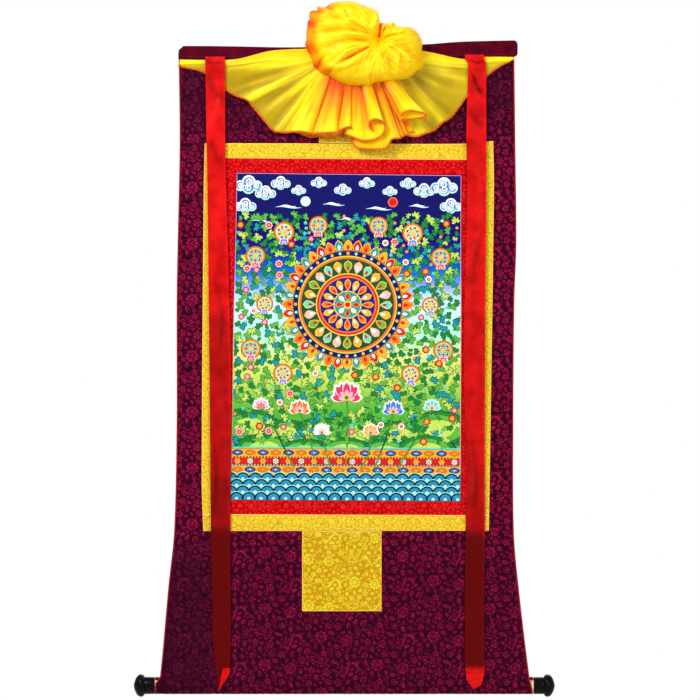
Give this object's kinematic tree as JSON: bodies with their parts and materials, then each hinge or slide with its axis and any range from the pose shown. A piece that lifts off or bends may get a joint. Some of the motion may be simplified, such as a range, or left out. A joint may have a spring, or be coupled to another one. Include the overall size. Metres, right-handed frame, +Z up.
{
  "type": "thangka scroll painting with roller",
  "caption": "Hanging cloth scroll: a framed painted canvas on sewn damask panels, with a gathered silk veil and rosette, hanging ribbons, and a wooden roller with turned knobs.",
  "frame": {"origin": "middle of the hanging edge at the top of the heading, in the plane of the cloth's back face", "axes": "+Z up along the hanging cloth, +X to the viewer's right, +Y away from the viewer, into the wall; the picture faces -Y"},
  "size_m": [0.8416, 0.1119, 1.3879],
  "materials": {
    "heading_cloth": "satin",
    "maroon_damask": "figured satin",
    "red_binding": "satin",
    "yellow_brocade": "figured satin",
    "red_brocade": "figured satin",
    "painted_canvas": "matt paint",
    "yellow_silk": "glossy, sheer",
    "red_satin": "satin",
    "pale_wood": "plain",
    "black_lacquer": "gloss lacquer"
  },
  "bodies": {
    "root": {"heading": "heading_cloth", "top_panel": "maroon_damask", "side_panel_left": "maroon_damask", "side_panel_right": "maroon_damask", "bottom_panel": "maroon_damask", "edge_binding_left": "red_binding", "edge_binding_right": "red_binding", "yellow_strip_top": "yellow_brocade", "yellow_strip_left": "yellow_brocade", "yellow_strip_right": "yellow_brocade", "yellow_strip_bottom": "yellow_brocade", "red_strip_top": "red_brocade", "red_strip_left": "red_brocade", "red_strip_right": "red_brocade", "red_strip_bottom": "red_brocade", "picture_canvas": "painted_canvas", "door_patch": "yellow_brocade", "top_patch": "yellow_brocade", "silk_veil": "yellow_silk", "ribbon_left": "red_satin", "ribbon_right": "red_satin", "roller": "pale_wood", "knob_left": "black_lacquer", "knob_right": "black_lacquer"}
  },
  "joints": []
}
